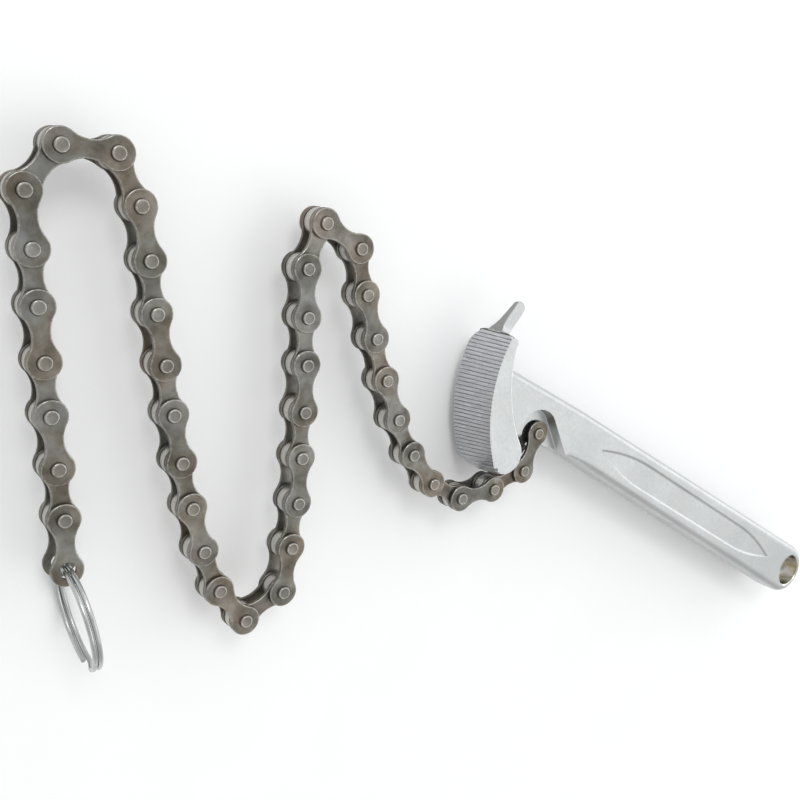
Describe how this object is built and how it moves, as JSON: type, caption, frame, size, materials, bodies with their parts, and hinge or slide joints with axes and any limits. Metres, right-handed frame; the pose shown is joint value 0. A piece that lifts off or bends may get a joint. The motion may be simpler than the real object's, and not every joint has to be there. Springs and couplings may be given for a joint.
{
  "type": "chain oil filter wrench",
  "caption": "Forged handle with a toothed crescent jaw and a top hook; a pinned roller chain with an end ring wraps a spin-on oil filter and pulls it against the jaw.",
  "frame": {"origin": "centre of the hanging hole in the grip's end, half-way through the handle", "axes": "+X along the grip, away from the jaw; +Y from the chain's side to the hook's side; +Z along every chain pin, out of the handle's flat face"},
  "size_m": [0.3457, 0.1413, 0.0281],
  "materials": {
    "forged_steel": "satin plated forging, faintly mottled",
    "chain_steel": "dull rolled steel with a film of oil",
    "roller_steel": "smooth turned steel",
    "nickel_wire": "bright nickel-plated spring wire"
  },
  "bodies": {
    "handle": {"handle": "forged_steel"},
    "outer_link_01": {"outer_link_01": "chain_steel"},
    "inner_link_01": {"inner_link_01": "chain_steel", "rollers_01": "roller_steel"},
    "outer_link_02": {"outer_link_02": "chain_steel"},
    "inner_link_02": {"inner_link_02": "chain_steel", "rollers_02": "roller_steel"},
    "outer_link_03": {"outer_link_03": "chain_steel"},
    "inner_link_03": {"inner_link_03": "chain_steel", "rollers_03": "roller_steel"},
    "outer_link_04": {"outer_link_04": "chain_steel"},
    "inner_link_04": {"inner_link_04": "chain_steel", "rollers_04": "roller_steel"},
    "outer_link_05": {"outer_link_05": "chain_steel"},
    "inner_link_05": {"inner_link_05": "chain_steel", "rollers_05": "roller_steel"},
    "outer_link_06": {"outer_link_06": "chain_steel"},
    "inner_link_06": {"inner_link_06": "chain_steel", "rollers_06": "roller_steel"},
    "outer_link_07": {"outer_link_07": "chain_steel"},
    "inner_link_07": {"inner_link_07": "chain_steel", "rollers_07": "roller_steel"},
    "outer_link_08": {"outer_link_08": "chain_steel"},
    "inner_link_08": {"inner_link_08": "chain_steel", "rollers_08": "roller_steel"},
    "outer_link_09": {"outer_link_09": "chain_steel"},
    "inner_link_09": {"inner_link_09": "chain_steel", "rollers_09": "roller_steel"},
    "outer_link_10": {"outer_link_10": "chain_steel"},
    "inner_link_10": {"inner_link_10": "chain_steel", "rollers_10": "roller_steel"},
    "outer_link_11": {"outer_link_11": "chain_steel"},
    "inner_link_11": {"inner_link_11": "chain_steel", "rollers_11": "roller_steel"},
    "outer_link_12": {"outer_link_12": "chain_steel"},
    "inner_link_12": {"inner_link_12": "chain_steel", "rollers_12": "roller_steel"},
    "outer_link_13": {"outer_link_13": "chain_steel"},
    "inner_link_13": {"inner_link_13": "chain_steel", "rollers_13": "roller_steel"},
    "outer_link_14": {"outer_link_14": "chain_steel"},
    "inner_link_14": {"inner_link_14": "chain_steel", "rollers_14": "roller_steel"},
    "outer_link_15": {"outer_link_15": "chain_steel"},
    "inner_link_15": {"inner_link_15": "chain_steel", "rollers_15": "roller_steel"},
    "outer_link_16": {"outer_link_16": "chain_steel"},
    "inner_link_16": {"inner_link_16": "chain_steel", "rollers_16": "roller_steel"},
    "outer_link_17": {"outer_link_17": "chain_steel"},
    "inner_link_17": {"inner_link_17": "chain_steel", "rollers_17": "roller_steel"},
    "outer_link_18": {"outer_link_18": "chain_steel"},
    "inner_link_18": {"inner_link_18": "chain_steel", "rollers_18": "roller_steel"},
    "outer_link_19": {"outer_link_19": "chain_steel"},
    "inner_link_19": {"inner_link_19": "chain_steel", "rollers_19": "roller_steel"},
    "outer_link_20": {"outer_link_20": "chain_steel"},
    "ring": {"split_ring": "nickel_wire"}
  },
  "joints": [
    {"name": "anchor_pivot", "type": "hinge", "parent": "handle", "child": "outer_link_01", "pos_m": [-0.1628, -0.0061, 0], "axis": [0, 0, -1], "range_deg": [-40, 2]},
    {"name": "link_pivot_01", "type": "hinge", "parent": "outer_link_01", "child": "inner_link_01", "pos_m": [-0.16125, -0.0187, 0], "axis": [0, 0, 1], "range_deg": [-7, 40]},
    {"name": "link_pivot_02", "type": "hinge", "parent": "inner_link_01", "child": "outer_link_02", "pos_m": [-0.16942, -0.02843, 0], "axis": [0, 0, -1], "range_deg": [-40, 37]},
    {"name": "link_pivot_03", "type": "hinge", "parent": "outer_link_02", "child": "inner_link_02", "pos_m": [-0.17994, -0.03554, 0], "axis": [0, 0, -1], "range_deg": [-40, 39]},
    {"name": "link_pivot_04", "type": "hinge", "parent": "inner_link_02", "child": "outer_link_03", "pos_m": [-0.19264, -0.03554, 0], "axis": [0, 0, 1], "range_deg": [-40, 40]},
    {"name": "link_pivot_05", "type": "hinge", "parent": "outer_link_03", "child": "inner_link_03", "pos_m": [-0.20442, -0.03078, 0], "axis": [0, 0, 1], "range_deg": [-40, 40]},
    {"name": "link_pivot_06", "type": "hinge", "parent": "inner_link_03", "child": "outer_link_04", "pos_m": [-0.21507, -0.02386, 0], "axis": [0, 0, 1], "range_deg": [-40, 40]},
    {"name": "link_pivot_07", "type": "hinge", "parent": "outer_link_04", "child": "inner_link_04", "pos_m": [-0.22494, -0.01587, 0], "axis": [0, 0, 1], "range_deg": [-40, 40]},
    {"name": "link_pivot_08", "type": "hinge", "parent": "inner_link_04", "child": "outer_link_05", "pos_m": [-0.23438, -0.00737, 0], "axis": [0, 0, -1], "range_deg": [-40, 40]},
    {"name": "link_pivot_09", "type": "hinge", "parent": "outer_link_05", "child": "inner_link_05", "pos_m": [-0.24351, 0.00145, 0], "axis": [0, 0, -1], "range_deg": [-30, 40]},
    {"name": "link_pivot_10", "type": "hinge", "parent": "inner_link_05", "child": "outer_link_06", "pos_m": [-0.25185, 0.01104, 0], "axis": [0, 0, -1], "range_deg": [-22, 115]},
    {"name": "link_pivot_11", "type": "hinge", "parent": "outer_link_06", "child": "inner_link_06", "pos_m": [-0.26454, 0.01148, 0], "axis": [0, 0, 1], "range_deg": [-115, 18]},
    {"name": "link_pivot_12", "type": "hinge", "parent": "inner_link_06", "child": "outer_link_07", "pos_m": [-0.26321, -0.00115, 0], "axis": [0, 0, 1], "range_deg": [-115, 23]},
    {"name": "link_pivot_13", "type": "hinge", "parent": "outer_link_07", "child": "inner_link_07", "pos_m": [-0.25667, -0.01204, 0], "axis": [0, 0, 1], "range_deg": [-40, 31]},
    {"name": "link_pivot_14", "type": "hinge", "parent": "inner_link_07", "child": "outer_link_08", "pos_m": [-0.25032, -0.02304, 0], "axis": [0, 0, -1], "range_deg": [-40, 40]},
    {"name": "link_pivot_15", "type": "hinge", "parent": "outer_link_08", "child": "inner_link_08", "pos_m": [-0.24436, -0.03425, 0], "axis": [0, 0, -1], "range_deg": [-40, 40]},
    {"name": "link_pivot_16", "type": "hinge", "parent": "inner_link_08", "child": "outer_link_09", "pos_m": [-0.23859, -0.04557, 0], "axis": [0, 0, -1], "range_deg": [-40, 33]},
    {"name": "link_pivot_17", "type": "hinge", "parent": "outer_link_09", "child": "inner_link_09", "pos_m": [-0.23303, -0.05698, 0], "axis": [0, 0, -1], "range_deg": [-40, 27]},
    {"name": "link_pivot_18", "type": "hinge", "parent": "inner_link_09", "child": "outer_link_10", "pos_m": [-0.22827, -0.06875, 0], "axis": [0, 0, -1], "range_deg": [-115, 21]},
    {"name": "link_pivot_19", "type": "hinge", "parent": "outer_link_10", "child": "inner_link_10", "pos_m": [-0.22413, -0.08076, 0], "axis": [0, 0, 1], "range_deg": [-18, 115]},
    {"name": "link_pivot_20", "type": "hinge", "parent": "inner_link_10", "child": "outer_link_11", "pos_m": [-0.23105, -0.09141, 0], "axis": [0, 0, 1], "range_deg": [-16, 40]},
    {"name": "link_pivot_21", "type": "hinge", "parent": "outer_link_11", "child": "inner_link_11", "pos_m": [-0.24265, -0.08625, 0], "axis": [0, 0, 1], "range_deg": [-19, 40]},
    {"name": "link_pivot_22", "type": "hinge", "parent": "inner_link_11", "child": "outer_link_12", "pos_m": [-0.25238, -0.07809, 0], "axis": [0, 0, 1], "range_deg": [-22, 40]},
    {"name": "link_pivot_23", "type": "hinge", "parent": "outer_link_12", "child": "inner_link_12", "pos_m": [-0.2612, -0.06895, 0], "axis": [0, 0, 1], "range_deg": [-26, 40]},
    {"name": "link_pivot_24", "type": "hinge", "parent": "inner_link_12", "child": "outer_link_13", "pos_m": [-0.2697, -0.05951, 0], "axis": [0, 0, 1], "range_deg": [-32, 39]},
    {"name": "link_pivot_25", "type": "hinge", "parent": "outer_link_13", "child": "inner_link_13", "pos_m": [-0.27769, -0.04964, 0], "axis": [0, 0, -1], "range_deg": [-30, 40]},
    {"name": "link_pivot_26", "type": "hinge", "parent": "inner_link_13", "child": "outer_link_14", "pos_m": [-0.28551, -0.03963, 0], "axis": [0, 0, -1], "range_deg": [-24, 40]},
    {"name": "link_pivot_27", "type": "hinge", "parent": "outer_link_14", "child": "inner_link_14", "pos_m": [-0.2935, -0.02976, 0], "axis": [0, 0, -1], "range_deg": [-20, 40]},
    {"name": "link_pivot_28", "type": "hinge", "parent": "inner_link_14", "child": "outer_link_15", "pos_m": [-0.30097, -0.01949, 0], "axis": [0, 0, 1], "range_deg": [-40, 16]},
    {"name": "link_pivot_29", "type": "hinge", "parent": "outer_link_15", "child": "inner_link_15", "pos_m": [-0.30896, -0.00962, 0], "axis": [0, 0, 1], "range_deg": [-115, 14]},
    {"name": "link_pivot_30", "type": "hinge", "parent": "inner_link_15", "child": "outer_link_16", "pos_m": [-0.3191, -0.00198, 0], "axis": [0, 0, 1], "range_deg": [-115, 11]},
    {"name": "link_pivot_31", "type": "hinge", "parent": "outer_link_16", "child": "inner_link_16", "pos_m": [-0.33071, -0.00714, 0], "axis": [0, 0, -1], "range_deg": [-11, 115]},
    {"name": "link_pivot_32", "type": "hinge", "parent": "inner_link_16", "child": "outer_link_17", "pos_m": [-0.33291, -0.01965, 0], "axis": [0, 0, -1], "range_deg": [-12, 115]},
    {"name": "link_pivot_33", "type": "hinge", "parent": "outer_link_17", "child": "inner_link_17", "pos_m": [-0.32563, -0.03005, 0], "axis": [0, 0, 1], "range_deg": [-40, 14]},
    {"name": "link_pivot_34", "type": "hinge", "parent": "inner_link_17", "child": "outer_link_18", "pos_m": [-0.31871, -0.0407, 0], "axis": [0, 0, 1], "range_deg": [-40, 16]},
    {"name": "link_pivot_35", "type": "hinge", "parent": "outer_link_18", "child": "inner_link_18", "pos_m": [-0.31161, -0.05123, 0], "axis": [0, 0, 1], "range_deg": [-40, 20]},
    {"name": "link_pivot_36", "type": "hinge", "parent": "inner_link_18", "child": "outer_link_19", "pos_m": [-0.30451, -0.06176, 0], "axis": [0, 0, 1], "range_deg": [-40, 24]},
    {"name": "link_pivot_37", "type": "hinge", "parent": "outer_link_19", "child": "inner_link_19", "pos_m": [-0.29722, -0.07217, 0], "axis": [0, 0, 1], "range_deg": [-40, 31]},
    {"name": "link_pivot_38", "type": "hinge", "parent": "inner_link_19", "child": "outer_link_20", "pos_m": [-0.29012, -0.08269, 0], "axis": [0, 0, 1], "range_deg": [-40, 40]},
    {"name": "ring_swing", "type": "hinge", "parent": "outer_link_20", "child": "ring", "pos_m": [-0.28358, -0.09358, 0], "axis": [0, 0, 1], "range_deg": [-110, 83]}
  ]
}
